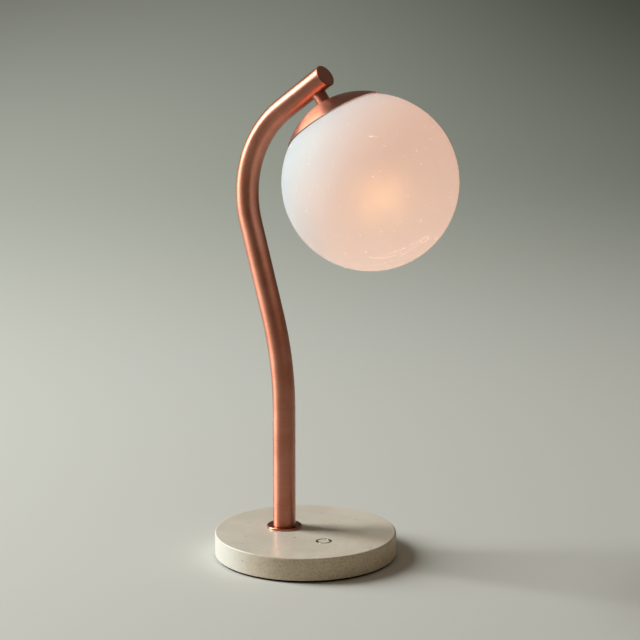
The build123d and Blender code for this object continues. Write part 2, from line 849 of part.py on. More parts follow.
def charge_leads():
    start_x = -charge_board_inner + header_length
    end_x = control_left - header_length
    wires = []
    for side in (-0.5, 0.5):
        start_y = side * wire_spacing
        end_y = charge_header_y + side * wire_spacing
        line = FilletPolyline(
            (start_x, start_y, wire_level),
            (start_x + charge_first_bend * (end_x - start_x), start_y, wire_level),
            (start_x + charge_second_bend * (end_x - start_x), end_y, wire_level),
            (end_x, end_y, wire_level),
            radius=[lead_tray_turn, lead_tray_turn],
        )
        wires.append(swept(line, wire_diameter / 2))
    return wires


# ---- Write every piece -----------------------------------------------------------------
PIECES = [
    stone_base, foot_pad, base_plate, plate_screws, plate_inserts,
    inner_tray, battery_pack, battery_foam, control_board, charge_board, board_screws,
    charging_socket, socket_bezel, touch_ring, touch_contact, indicator_lens,
    stem_tube, foot_flange, stem_insert, stem_washer, stem_nut, tail_grommet, end_plug,
    neck_tube, nipple, shade_cap, nipple_nuts, gallery, gallery_gasket,
    led_post, led_board, led_screws, led_diffuser,
    glass_globe,
    lamp_lead, battery_leads, charge_leads,
]

os.makedirs("parts", exist_ok=True)
for make in PIECES:
    shape = make()
    if isinstance(shape, list):
        shape = Compound(children=shape)
    export_step(shape, f"parts/{make.__name__}.step")

neck_at = [round(value, 3) for value in NECK_POINT]
print("neck meets the tube's axis at", neck_at, "and points along", NECK_AXIS)
print("globe centre is", round(globe_centre_drop, 3), "down the neck's axis")
print("light source ends", round(spigot_drop + diffuser_skirt + diffuser_radius, 3), "down")
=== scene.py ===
# %% [markdown]
# # A cordless globe lamp in brushed copper, opal glass and limestone
# The lamp's construction is already made: every piece stands in the frame at its real size.
# This lesson gives each piece its finish, adds the small things that only a close look
# shows, and lights the lamp on a plain pale floor.

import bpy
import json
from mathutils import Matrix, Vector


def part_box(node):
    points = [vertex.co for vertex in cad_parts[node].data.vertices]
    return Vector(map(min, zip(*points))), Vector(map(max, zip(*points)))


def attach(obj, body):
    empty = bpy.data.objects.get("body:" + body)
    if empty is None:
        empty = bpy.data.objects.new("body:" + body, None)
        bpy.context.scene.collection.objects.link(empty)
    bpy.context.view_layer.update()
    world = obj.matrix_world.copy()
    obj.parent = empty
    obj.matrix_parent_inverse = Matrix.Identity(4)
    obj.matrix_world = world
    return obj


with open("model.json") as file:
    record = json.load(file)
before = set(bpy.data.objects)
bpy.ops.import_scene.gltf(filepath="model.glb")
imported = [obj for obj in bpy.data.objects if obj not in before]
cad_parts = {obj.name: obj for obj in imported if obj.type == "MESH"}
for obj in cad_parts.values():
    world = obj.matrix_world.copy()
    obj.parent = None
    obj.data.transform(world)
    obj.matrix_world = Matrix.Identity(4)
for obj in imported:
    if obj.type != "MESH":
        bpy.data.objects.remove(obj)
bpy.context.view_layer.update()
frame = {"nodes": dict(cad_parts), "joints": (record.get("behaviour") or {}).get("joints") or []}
nodes = frame["nodes"]
print(len(nodes), "pieces loaded")

# %% [markdown]
# ## Places that the finishes follow
# The brush marks go round the tube, wherever it bends, and round the middle of the dome. So
# the first step finds those lines. The frame gives the ball's centre, the neck's axis and the
# foot of the tube. It doesn't give the tube's bends, so their lengths and angles are written
# out here, as the tube was bent. Sizes are in metres.

# %% The head: the ball's centre and the neck's axis
import bpy
import json
from math import atan2, cos, pi, radians, sin
from mathutils import Vector
from random import Random

MM = 0.001
neck_axis = Vector(frame["joints"][0]["axis"]).normalized()
globe_low, globe_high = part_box("glass_globe")
globe_radius = (globe_high.y - globe_low.y) / 2
globe_centre = Vector(((globe_low.x + globe_high.x) / 2, 0, globe_low.z + globe_radius))
head_turn = (0, atan2(neck_axis.x, neck_axis.z), 0)
print("ball radius", round(globe_radius, 4), "centre", globe_centre)

# %% The tube: two bends between three straight runs
flange_low, flange_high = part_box("foot_flange")
foot = Vector(((flange_low.x + flange_high.x) / 2, 0, flange_low.z))
upright_run = 107.5 * MM
lower_radius = 300 * MM
lean = radians(16)
lean_run = 83.5 * MM
crook_radius = 95.5 * MM
arm_heading = radians(90 - 36.5)
arm_run = 52.5 * MM


def heading(angle):
    """A unit step in the plane of the tube, leaning from upright towards the globe."""
    return Vector((sin(angle), 0, cos(angle)))


def square_to(angle):
    """The unit step square to a heading, on the globe's side."""
    return Vector((cos(angle), 0, -sin(angle)))


lower_start = foot + heading(0) * upright_run
lower_centre = lower_start - square_to(0) * lower_radius
lean_start = lower_centre + square_to(-lean) * lower_radius
crook_start = lean_start + heading(-lean) * lean_run
crook_centre = crook_start + square_to(-lean) * crook_radius
arm_start = crook_centre - square_to(arm_heading) * crook_radius
tube_tip = arm_start + heading(arm_heading) * arm_run
print("the arm runs from", arm_start, "to", tube_tip)

# %% [markdown]
# ## The camera
# The camera stands where the photograph was taken, a little above the lamp and to its
# right. It comes first, because a few marks in the glass are placed as the camera sees them.

# %% The camera and its three directions
camera_data = bpy.data.cameras.new("camera")
camera_data.sensor_width = 36.0
camera_data.lens = 146.2
camera = bpy.data.objects.new("camera", camera_data)
camera.location = (1.2403, -1.8170, 0.712)
camera.rotation_mode = "QUATERNION"
forward = Vector((-0.54515, 0.80863, -0.22119))
camera.rotation_quaternion = forward.to_track_quat("-Z", "Y")
bpy.context.scene.collection.objects.link(camera)
bpy.context.scene.camera = camera
view_right = forward.cross(Vector((0, 0, 1))).normalized()
view_up = view_right.cross(forward)


# %% A point of the ball, from its place in the picture
picture_side = 640
focal = camera_data.lens / camera_data.sensor_width * picture_side


def on_globe(column, row):
    """The point of the ball's near face that one pixel of the picture shows."""
    ray = forward * focal
    ray += view_right * (column - picture_side / 2) + view_up * (picture_side / 2 - row)
    ray.normalize()
    to_centre = globe_centre - camera.location
    nearest = to_centre.dot(ray)
    half_chord = (globe_radius**2 - to_centre.length_squared + nearest**2) ** 0.5
    return camera.location + ray * (nearest - half_chord)


print("the ball's near face at the middle of the light:", on_globe(387, 199))

# %% [markdown]
# ## Arithmetic on a surface
# A procedural finish is a sum worked out at every point of a surface. Wiring Math nodes by
# hand hides that sum, so a small class stands for one varying value, and plain + - * / on
# it adds the nodes. The tree that results is the same as one drawn by hand.

# %% One varying value


class Field:
    """One value that varies over a surface; arithmetic on it adds Math nodes."""

    def __init__(self, socket):
        self.socket = socket
        self.tree = socket.id_data

    def math(self, operation, *others):
        node = self.tree.nodes.new("ShaderNodeMath")
        node.operation = operation
        for slot, value in zip(node.inputs, (self, *others)):
            feed(slot, value)
        return Field(node.outputs[0])

    def __add__(self, other):
        return self.math("ADD", other)

    def __sub__(self, other):
        return self.math("SUBTRACT", other)

    def __mul__(self, other):
        return self.math("MULTIPLY", other)

    def __truediv__(self, other):
        return self.math("DIVIDE", other)

    def held(self, low, high):
        return self.math("MAXIMUM", low).math("MINIMUM", high)

    def rising(self, low, high):
        """0 below low, 1 above high, and a smooth rise between them."""
        node = self.tree.nodes.new("ShaderNodeMapRange")
        node.interpolation_type = "SMOOTHSTEP"
        for label, value in (("Value", self), ("From Min", low), ("From Max", high)):
            feed(node.inputs[label], value)
        return Field(node.outputs["Result"])


def feed(slot, value):
    """Links a socket to a field or another socket, or sets it to a plain value."""
    source = value.socket if isinstance(value, Field) else value
    if isinstance(source, bpy.types.NodeSocket):
        slot.id_data.links.new(source, slot)
    elif slot.type == "RGBA" and len(source) == 3:
        slot.default_value = (*source, 1.0)
    else:
        slot.default_value = source


# %% Vectors, noise and colour


def joined(tree, x, y, z):
    node = tree.nodes.new("ShaderNodeCombineXYZ")
    for slot, value in zip(node.inputs, (x, y, z)):
        feed(slot, value)
    return node.outputs[0]


def parts_of(vector):
    node = vector.id_data.nodes.new("ShaderNodeSeparateXYZ")
    feed(node.inputs[0], vector)
    return [Field(output) for output in node.outputs]


def place_on(tree):
    """The point on the piece, in the lamp's own frame."""
    return tree.nodes.new("ShaderNodeTexCoord").outputs["Object"]


def measured_from(tree, centre, rotation):
    """The point on the piece, measured from a centre along turned axes."""
    node = tree.nodes.new("ShaderNodeMapping")
    node.vector_type = "TEXTURE"
    feed(node.inputs["Vector"], place_on(tree))
    node.inputs["Location"].default_value = centre
    node.inputs["Rotation"].default_value = rotation
    return node.outputs[0]


def stretched(vector, scales):
    node = vector.id_data.nodes.new("ShaderNodeVectorMath")
    node.operation = "MULTIPLY"
    feed(node.inputs[0], vector)
    feed(node.inputs[1], scales)
    return node.outputs[0]


def noise(vector, scale, detail=2.0, roughness=0.5):
    node = vector.id_data.nodes.new("ShaderNodeTexNoise")
    feed(node.inputs["Vector"], vector)
    feed(node.inputs["Scale"], scale)
    feed(node.inputs["Detail"], detail)
    feed(node.inputs["Roughness"], roughness)
    return Field(node.outputs[0])


def blended(factor, first, second):
    """The colour that goes from first to second as the factor goes from 0 to 1."""
    node = factor.tree.nodes.new("ShaderNodeMix")
    node.data_type = "RGBA"
    feed(node.inputs["Factor"], factor)
    feed(node.inputs[6], first)
    feed(node.inputs[7], second)
    return node.outputs[2]


def bumped(height, strength, depth):
    node = height.tree.nodes.new("ShaderNodeBump")
    feed(node.inputs["Height"], height)
    node.inputs["Strength"].default_value = strength
    node.inputs["Distance"].default_value = depth
    return node.outputs[0]


# %% Shader groups and materials


def shader_group(name, inputs, outputs, build):
    """A node group with named sockets. An input of None is a vector."""
    tree = bpy.data.node_groups.new(name, "ShaderNodeTree")
    for label, value in inputs.items():
        kind = "NodeSocketVector" if value is None else "NodeSocketFloat"
        socket = tree.interface.new_socket(label, in_out="INPUT", socket_type=kind)
        if value is not None:
            socket.default_value = value
    for label in outputs:
        tree.interface.new_socket(label, in_out="OUTPUT", socket_type="NodeSocketFloat")
    given = tree.nodes.new("NodeGroupInput").outputs
    result = tree.nodes.new("NodeGroupOutput").inputs
    build(tree, given, result)
    return tree


def use_group(group, vector, **values):
    """One copy of a group in a material, with its own values; gives its outputs."""
    node = vector.id_data.nodes.new("ShaderNodeGroup")
    node.node_tree = group
    feed(node.inputs["Vector"], vector)
    for label, value in values.items():
        feed(node.inputs[label], value)
    return [Field(output) for output in node.outputs]


def material(name, build, values):
    """A Principled material: plain values go on its sockets, and build wires the rest."""
    made = bpy.data.materials.new(name)
    made.use_nodes = True
    shader = made.node_tree.nodes["Principled BSDF"].inputs
    for label, value in values.items():
        feed(shader[label], value)
    build(made.node_tree, shader)
    return made


def dress(finish, *names):
    """Gives CAD pieces their finish."""
    for name in names:
        nodes[name].material_slots[0].material = finish
    print(finish.name, "on", ", ".join(names))


# %% [markdown]
# ## Brush marks, as one shared group
# Brushed metal is scratched one way by an abrasive belt. The eye sees long thin streaks and
# a highlight that spreads across them. The streaks are noise that changes fast across the
# marks and slowly along them. Each form lays its own vector out that way, and the group
# turns it into a height for the bump and a tone that varies the gloss and the colour.

# %% The brush_marks group


def build_brush_marks(tree, given, result):
    fine = noise(given["Vector"], given["Fineness"], 3.0, 0.6)
    broad = noise(given["Vector"], 0.22, 2.0, 0.5)
    feed(result["Height"], fine * 0.7 + broad * 0.3)
    feed(result["Tone"], broad)


brush_marks = shader_group(
    "brush_marks",
    {"Vector": None, "Fineness": 1.0},
    ("Height", "Tone"),
    build_brush_marks,
)

# %% [markdown]
# Handling leaves soft patches on metal, glass and stone alike: wide, low in contrast, and
# seen mostly as a change of gloss. One group makes them all.

# %% The soft_patches group


def build_soft_patches(tree, given, result):
    wide = noise(given["Vector"], given["Scale"], 3.0, 0.55)
    feed(result["Mask"], wide.rising(0.36, 0.66))


soft_patches = shader_group(
    "soft_patches", {"Vector": None, "Scale": 30.0}, ("Mask",), build_soft_patches
)

# %% [markdown]
# Scattered dots serve the pits of the stone and the plated holes of the boards, and the
# cells themselves serve the small plates of zinc. A Voronoi texture puts one point in each
# cell of a grid. Each cell's random colour decides how large its dot is, and whether it has
# one at all.

# %% The specks group


def build_specks(tree, given, result):
    cells = tree.nodes.new("ShaderNodeTexVoronoi")
    feed(cells.inputs["Vector"], given["Vector"])
    feed(cells.inputs["Scale"], given["Scale"])
    chance, other, _ = parts_of(cells.outputs["Color"])
    share = (chance - Field(given["Sparse"])).held(0.0, 1.0)
    size = share * Field(given["Size"])
    inside = size - Field(cells.outputs["Distance"])
    feed(result["Mask"], inside.rising(0.0, 0.03))
    feed(result["Random"], other)


specks = shader_group(
    "specks",
    {"Vector": None, "Scale": 100.0, "Sparse": 0.5, "Size": 0.5},
    ("Mask", "Random"),
    build_specks,
)
print(len(bpy.data.node_groups), "shared groups")

# %% [markdown]
# ## Brushed copper
# The tube, neck, dome, flange and end cap are copper with a satin face under a thin clear
# lacquer. Copper's colour is in its reflection, so it is all Metallic. Each form is brushed
# its own way, so the materials differ in that direction, in gloss and in how far they spread
# a highlight. The tube was turned against the belt, so its marks go round it and draw a
# highlight out along it. Anisotropic does that, with a tangent that lies across the marks.

# %% Marks along the bent tube


def along_tube(tree):
    """Two values across the tube, and the length from its foot as Z."""
    x, y, z = parts_of(place_on(tree))

    def dot(origin, way):
        return (x - origin.x) * way.x + (z - origin.z) * way.z

    def distance(origin):
        return dot(origin, heading(pi / 2)).math("POWER", 2.0).math(
            "ADD", dot(origin, heading(0)).math("POWER", 2.0)
        ).math("SQRT")

    lean_way, arm_way = heading(-lean), heading(arm_heading)
    low_angle = dot(lower_centre, heading(0)).math("ARCTAN2", dot(lower_centre, heading(pi / 2)))
    inward = square_to(-lean) * -1
    crook_angle = dot(crook_centre, lean_way).math("ARCTAN2", dot(crook_centre, inward))
    stretches = [
        (dot(foot, heading(0)).held(0.0, upright_run), dot(foot, square_to(0))),
        (low_angle.held(0.0, lean) * lower_radius, distance(lower_centre) - lower_radius),
        (dot(lean_start, lean_way).held(0.0, lean_run), dot(lean_start, square_to(-lean))),
        (
            crook_angle.held(0.0, lean + arm_heading) * crook_radius,
            (distance(crook_centre) - crook_radius) * -1.0,
        ),
        (dot(arm_start, arm_way).math("MAXIMUM", 0.0), dot(arm_start, square_to(arm_heading))),
    ]
    along, aside = stretches[0]
    for length, offset in stretches[1:]:
        reached = length.math("GREATER_THAN", 0.0)
        along = along + length
        aside = aside + (offset - aside) * reached
    return joined(tree, aside, y, along)


lines_per_metre = 2600.0
mark_run = 35 * MM


def round_the_tube(tree):
    aside, y, along = parts_of(along_tube(tree))
    return joined(tree, along * lines_per_metre, aside / mark_run, y / mark_run)


def lengthwise(tree):
    """The tangent along the bent tube, which lies in the XZ plane."""
    normal = tree.nodes.new("ShaderNodeNewGeometry").outputs["Normal"]
    return crossed(normal, (0, 1, 0))


def crossed(first, second):
    """The cross product of two vectors; the first is a socket."""
    node = first.id_data.nodes.new("ShaderNodeVectorMath")
    node.operation = "CROSS_PRODUCT"
    feed(node.inputs[0], first)
    feed(node.inputs[1], second)
    return node.outputs[0]


# %% Marks on the dome, the neck and the turned discs


def round_an_axis(centre, rotation):
    """Marks of a lathe tool: rings about an axis."""

    def marks(tree):
        x, y, z = parts_of(measured_from(tree, centre, rotation))
        fast = ((x * x + y * y).math("SQRT") + z) * lines_per_metre
        return joined(tree, fast, x / mark_run, y / mark_run)

    return marks


def outward(axis):
    """The tangent that runs over a turned face straight out from its axis."""

    def tangent(tree):
        normal = tree.nodes.new("ShaderNodeNewGeometry").outputs["Normal"]
        return crossed(normal, crossed(normal, tuple(axis)))

    return tangent


def straight(axis):
    """One tangent for the whole of a straight piece."""
    return lambda tree: joined(tree, *axis)


# %% The copper itself
copper_bright = (0.70, 0.29, 0.19)
copper_deep = (0.585, 0.21, 0.125)


def copper(name, marks, tangent, gloss=0.45, spread=0.75, lacquer=0.7):
    def build(tree, shader):
        height, tone = use_group(brush_marks, marks(tree), Fineness=1.6)
        handled, = use_group(soft_patches, place_on(tree), Scale=26.0)
        shade = tone * 0.6 + handled * 0.4
        feed(shader["Base Color"], blended(shade.rising(0.2, 0.8), copper_deep, copper_bright))
        feed(shader["Roughness"], tone * 0.06 + handled * 0.05 + gloss)
        feed(shader["Normal"], bumped(height, 0.12, 0.03 * MM))
        feed(shader["Tangent"], tangent(tree))

    values = {
        "Metallic": 1.0,
        "Anisotropic": spread,
        "Coat Weight": lacquer,
        "Coat Roughness": 0.30,
        "Coat IOR": 1.45,
    }
    return material(name, build, values)


end_marks = round_an_axis(tube_tip, (0, arm_heading, 0))
neck_marks = round_an_axis(globe_centre, head_turn)
foot_marks = round_an_axis(foot, (0, 0, 0))
arm_axis = heading(arm_heading)
dress(copper("copper_tube", round_the_tube, lengthwise), "stem_tube")
dress(copper("copper_dome", neck_marks, outward(neck_axis), 0.36, 0.85, 0.8), "shade_cap")
dress(copper("copper_neck", neck_marks, straight(neck_axis), 0.38, 1.0, 1.0), "neck_tube")
dress(copper("copper_flange", foot_marks, outward((0, 0, 1)), 0.28, 0.5), "foot_flange")
dress(copper("copper_end", end_marks, outward(arm_axis), 0.55, 0.6, 1.0), "end_plug")

# %% [markdown]
# ## Limestone
# The base is a honed disc of cream limestone. Several scales make it read as stone: wide
# warm and cool clouds, a bedding that draws them out sideways, brown flecks that show most
# on the sawn side, and a fine crystal grain with a few pits. The side away from the studio
# light is painted warm and brown, with its flecks thickest there, as painted shade, and the
# sawn side that faces the light is painted paler and greyer, as painted light. The top takes
# a soft polish, so the tube is mirrored faintly at its foot.

# %% The stone
stone_cream = (0.79, 0.735, 0.62)
stone_grey = (0.665, 0.61, 0.505)
stone_lit_grey = (0.755, 0.735, 0.675)
stone_tan = (0.74, 0.575, 0.37)
stone_rose = (0.78, 0.60, 0.48)
stone_brown = (0.40, 0.27, 0.15)
stone_pit = (0.28, 0.20, 0.13)
stone_crystal = (0.86, 0.82, 0.74)


def build_limestone(tree, shader):
    point = place_on(tree)
    x, y, _ = parts_of(point)
    normal = tree.nodes.new("ShaderNodeNewGeometry").outputs["Normal"]
    upward = parts_of(normal)[2]
    sawn = (upward * upward) * -0.85 + 1.0
    cloud = noise(stretched(point, (1.0, 1.0, 2.2)), 17.0, 5.0, 0.62)
    veil = noise(stretched(point, (1.6, 0.9, 1.0)), 46.0, 6.0, 0.65)
    rosy, = use_group(soft_patches, point, Scale=21.0)
    fleck = noise(stretched(point, (1.0, 1.0, 1.5)), 420.0, 5.0, 0.72)
    drift = noise(point, 30.0, 2.0)
    # Painted shade: the side away from the studio light is painted warm and brown.
    painted_shade_side = (x * 0.95 - y * 0.30 + drift * 0.03).rising(-0.005, 0.088)
    pits, pit_tone = use_group(specks, point, Scale=330.0, Sparse=0.80, Size=1.4)
    grain = noise(point, 1500.0, 2.0)
    body = blended(cloud.rising(0.34, 0.66), stone_grey, stone_cream)
    body = blended(veil.rising(0.46, 0.60) * (sawn * -0.16 + 0.20), body, stone_tan)
    # Painted light: the sawn side that faces the studio light is painted paler and greyer.
    painted_lit_side = sawn * (painted_shade_side * -1.0 + 1.0) * 0.75
    body = blended(painted_lit_side, body, stone_lit_grey)
    warm = blended(rosy * veil.rising(0.42, 0.72) * 0.35, body, stone_rose)
    shade_tanned = blended(painted_shade_side * sawn * 0.85, warm, stone_tan)
    # The flecks are painted thicker on the shaded side, as part of the painted shade.
    flecks = fleck.rising(0.42, 0.68) * (sawn * (painted_shade_side * 0.50 + 0.05) + 0.04)
    flecked = blended(flecks, shade_tanned, stone_brown)
    speckled = blended(grain.rising(0.30, 0.75) * 0.10, flecked, stone_crystal)
    feed(shader["Base Color"], blended(pits * (pit_tone * 0.5 + 0.2), speckled, stone_pit))
    feed(shader["Roughness"], veil * 0.10 + grain * 0.05 + sawn * 0.30 + 0.17)
    feed(shader["Normal"], bumped(grain * 0.25 + veil * 0.2 - pits * 0.6, 0.12, 0.12 * MM))


limestone = material("honed_limestone", build_limestone, {"IOR": 1.55})
dress(limestone, "stone_base")

# %% [markdown]
# ## Opal glass, lit from inside
# Opal glass scatters light in its own thickness. It looks white, lets light through without
# an outline, and only the light source shows as a soft warm core. Three effects are added
# up: a white body with some scattering below the surface, a part that lets light through a
# rough face, and a painted warm glow: emission laid on the wall by position in place of the
# light from inside, full on the side away from the tube and dim on the tube's side.

# %% Where the light comes from
# Colours of the painted glow: emission on the glass in place of the light from inside.
glow_dim = (0.055, 0.06, 0.07)
glow_full = (0.425, 0.250, 0.186)
glow_veil = (0.47, 0.275, 0.205)
glass_body = (0.56, 0.622, 0.634)
glass_cloud = (0.535, 0.596, 0.608)
diffuser_low, diffuser_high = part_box("led_diffuser")
diffuser_radius = (diffuser_high.y - diffuser_low.y) / 2
source = Vector((diffuser_high.x - diffuser_radius, 0, diffuser_low.z + diffuser_radius))
print("the light source is", round((source - globe_centre).length, 4), "off the ball's centre")

# %% The glass


def opal(name, lift, values):
    """Opal glass with painted glow, lifted by a factor to paint seeds and folds brighter."""

    def build(tree, shader):
        point = place_on(tree)
        x, _, z = parts_of(measured_from(tree, globe_centre, (0, 0, 0)))
        away = (x * 0.93 - z * 0.22) / globe_radius
        cloud, = use_group(soft_patches, point, Scale=16.0)
        swirl = noise(stretched(point, (1.0, 1.0, 2.0)), 24.0, 3.0)
        # The painted glow rises from the tube's side to the far side and a little lower down.
        reach = (away + swirl * 0.16).rising(-0.80, 0.44)
        tints = (glow_dim, glow_full, glow_veil)
        dim, full, veil = ([part * lift for part in tint] for tint in tints)
        feed(shader["Emission Color"], blended(cloud * 0.12, blended(reach, dim, full), veil))
        feed(shader["Base Color"], blended(cloud * 0.3, glass_body, glass_cloud))
        feed(shader["Roughness"], cloud * 0.05 + 0.56)
        feed(shader["Normal"], bumped(cloud * 0.5 + swirl * 0.5, 0.10, 0.15 * MM))

    values = {"IOR": 1.46, "Specular IOR Level": 0.12, "Emission Strength": 1.0, **values}
    return material(name, build, values)


see_through = {
    "Transmission Weight": 0.35,
    "Subsurface Weight": 0.4,
    "Subsurface Radius": (1.0, 0.85, 0.7),
    "Subsurface Scale": 3 * MM,
}
dress(opal("lit_opal", 1.0, see_through), "glass_globe")

# %% [markdown]
# ## The light source
# A small frosted dome covers the light board inside the globe. A Blender lamp could shine in
# its place, but light that has to find its way out through rough glass renders slowly and
# with grain. So the dome glows by itself.

# %% The dome over the light board
diffuser_rim_glow = (0.13, 0.055, 0.015)
diffuser_tip_glow = (1.0, 0.465, 0.13)


def build_lit_diffuser(tree, shader):
    """Brightest at the dome's end, where the board shines straight at it."""
    along = parts_of(measured_from(tree, source, head_turn))[2]
    cloud, = use_group(soft_patches, place_on(tree), Scale=70.0)
    reach = (along / diffuser_radius).rising(-0.7, 1.0)
    feed(shader["Emission Color"], blended(reach, diffuser_rim_glow, diffuser_tip_glow))
    feed(shader["Base Color"], blended(cloud * 0.5, (0.90, 0.88, 0.84), (0.86, 0.84, 0.79)))
    feed(shader["Roughness"], cloud * 0.08 + 0.46)


dress(material("lit_diffuser", build_lit_diffuser, {"Emission Strength": 10.0}), "led_diffuser")

# %% [markdown]
# ## Seeds and flow lines in the glass
# Hand-gathered glass keeps small air bubbles, called seeds, and a few lines where it folded
# as it flowed. They sit just under the face, and their brightness is painted: they carry the
# glass's painted glow, lifted 2.7 times on the seeds and twice on the folds and the ring
# bubble. Each one is a low ridge laid on the face: a short path with a rounded section, whose
# width runs out to nothing at both ends. The ones that the camera sees best are placed one by
# one, and a seeded scatter fills the rest of the ball.

# %% Low ridges laid on a face
ridge_section = ((-0.5, -0.4), (-0.34, 0.6), (0.0, 1.0), (0.34, 0.6), (0.5, -0.4))


def ball_face(spot, rise=0.0):
    return globe_centre + (spot - globe_centre).normalized() * (globe_radius + rise)


def piece_from(name, points, faces, finish, body):
    mesh = bpy.data.meshes.new(name)
    mesh.from_pydata(points, [], faces)
    mesh.shade_smooth()
    mesh.materials.append(finish)
    made = bpy.data.objects.new(name, mesh)
    bpy.context.scene.collection.objects.link(made)
    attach(made, body)
    print(name, "has", len(faces), "faces")


def add_ridge(points, faces, face, path, width, height, closed=False):
    """Adds one ridge along a path on a face; an open one tapers to both ends."""
    start, count, ring = len(points), len(path), len(ridge_section)
    for i, here in enumerate(path):
        before = path[i - 1] if closed or i else here
        after = path[(i + 1) % count] if closed or i < count - 1 else here
        out = face(here, 1.0) - face(here)
        side = out.cross(after - before).normalized()
        share = 2 * (i + 0.5) / count - 1
        taper = 1.0 if closed else (1 - share * share) ** 0.5
        for across, rise in ridge_section:
            points.append(face(here + side * (across * width * taper), rise * height * taper))
    for i in range(count if closed else count - 1):
        a, b = start + i * ring, start + (i + 1) % count * ring
        for k in range(ring):
            m = (k + 1) % ring
            faces.append((a + k, a + m, b + m, b + k))
    if not closed:
        faces.append(tuple(start + k for k in reversed(range(ring))))
        faces.append(tuple(start + (count - 1) * ring + k for k in range(ring)))


# %% The seeds: place in the picture, length and width in mm, and tilt in degrees
seen_seeds = [
    (425, 127, 1.3, 0.9, 20), (434, 127, 1.1, 0.8, 0), (404, 156, 1.0, 0.8, 0),
    (413, 159, 1.1, 0.8, 60), (421, 164, 1.5, 0.9, -30), (451, 168, 1.3, 0.8, 80),
    (449, 197, 1.4, 0.9, 70), (439, 209, 1.2, 0.9, 0), (421, 221, 2.6, 1.1, 55),
    (412, 244, 1.3, 0.9, 20), (371, 136.5, 3.8, 0.9, 0), (310, 158, 1.0, 0.8, 0),
    (309, 164, 1.1, 0.8, 40), (376, 137, 1.0, 0.8, 0), (447, 181, 1.0, 0.7, 0),
    (430, 139, 1.0, 0.7, 0), (318, 185, 0.9, 0.7, 0), (333, 162, 0.9, 0.7, 0),
    (454, 186, 0.9, 0.7, 90), (437, 152, 1.0, 0.7, 30), (425, 205, 0.9, 0.7, 0),
]
seed_height = 0.20 * MM
seen_seed_spread = 1.25
scattered_count = 120
scatter_start = 11
tube_side_share = 0.25
under_the_dome = -0.75
# The seeds and folds carry the painted glow, 2.7 times and twice as bright as the wall's.
opal_seed = opal("opal_seed", 2.7, {})
opal_fold = opal("opal_fold", 2.0, {})


def seed_path(place, length, way, steps=7):
    out = place - globe_centre
    way = way - (way.dot(out) / globe_radius**2) * out
    way.normalize()
    return [place + way * (length * ((i + 0.5) / steps - 0.5)) for i in range(steps)]


def scattered_seeds(count, chance):
    """Seeds over the whole ball, thicker on the side away from the tube."""
    while count:
        place = Vector([chance.gauss(0, 1) for _ in range(3)]).normalized()
        size, stretch = chance.uniform(0.6, 1.2), chance.uniform(1.0, 1.8)
        way = Vector([chance.gauss(0, 1) for _ in range(3)])
        share = tube_side_share + (1 - tube_side_share) * (place.x + 1) / 2
        kept = chance.random() < share
        if kept and place.dot(neck_axis) > under_the_dome:
            count -= 1
            yield globe_centre + place * globe_radius, size * stretch * MM, size * MM, way


points, faces = [], []
for column, row, length, width, tilt in seen_seeds:
    way = view_right * cos(radians(tilt)) + view_up * sin(radians(tilt))
    path = seed_path(on_globe(column, row), length * MM, way)
    add_ridge(points, faces, ball_face, path, seen_seed_spread * width * MM, seed_height)
for place, length, width, way in scattered_seeds(scattered_count, Random(scatter_start)):
    add_ridge(points, faces, ball_face, seed_path(place, length, way), width, seed_height)
piece_from("glass_seeds", points, faces, opal_seed, "globe")

# %% The ring-shaped bubble, in the picture's pixels
bubble_column, bubble_row = 424.5, 239.5
bubble_half_length, bubble_half_width = 4.7, 2.3
bubble_tilt = radians(35)
bubble_steps = 28
rim_width, rim_height = 1.6 * MM, 0.25 * MM
points, faces, loop = [], [], []
for step in range(bubble_steps):
    angle = 2 * pi * step / bubble_steps
    along, across = bubble_half_length * cos(angle), bubble_half_width * sin(angle)
    right = along * cos(bubble_tilt) - across * sin(bubble_tilt)
    up = along * sin(bubble_tilt) + across * cos(bubble_tilt)
    loop.append(on_globe(bubble_column + right, bubble_row - up))
add_ridge(points, faces, ball_face, loop, rim_width, rim_height, closed=True)
print("the ring bubble has", len(faces), "faces")

# %% The flow lines: four places in the picture that bend each one, and its width in mm
flow_height = 0.06 * MM
flow_steps = 16
flow_lines = [
    ((368, 256.5), (376, 259), (386, 258.5), (396, 255), 1.5),
    ((384, 255), (392, 253), (400, 250.5), (407, 247.5), 1.0),
    ((398, 257), (405, 253.5), (411, 249.5), (416, 245.5), 0.9),
    ((409, 246.5), (412, 245), (415, 243), (418, 240), 0.8),
]
for *corners, width in flow_lines:
    path = []
    for step in range(flow_steps + 1):
        t = step / flow_steps
        shares = ((1 - t) ** 3, 3 * t * (1 - t) ** 2, 3 * t * t * (1 - t), t**3)
        column = sum(share * corner[0] for share, corner in zip(shares, corners))
        row = sum(share * corner[1] for share, corner in zip(shares, corners))
        path.append(on_globe(column, row))
    add_ridge(points, faces, ball_face, path, width * MM, flow_height)
piece_from("glass_flow", points, faces, opal_fold, "globe")

# %% [markdown]
# ## Moulded, cast and rubber faces
# Most of the parts inside the base and the head are moulded or cast. What they share is a
# fine grain in the gloss and soft patches of wear in the colour, so one function makes them
# all, and only the colours, the gloss, the scale of the grain and its depth differ.

# %% One function for grained faces


def grained(name, dark, light, scale, gloss, depth, values=None):
    def build(tree, shader):
        point = place_on(tree)
        grain = noise(point, scale, 3.0, 0.6)
        patch, = use_group(soft_patches, point, Scale=45.0)
        feed(shader["Base Color"], blended(patch * 0.6 + grain * 0.4, dark, light))
        feed(shader["Roughness"], grain * 0.12 + patch * 0.06 + gloss)
        feed(shader["Normal"], bumped(grain, 0.4, depth))

    return material(name, build, values or {})


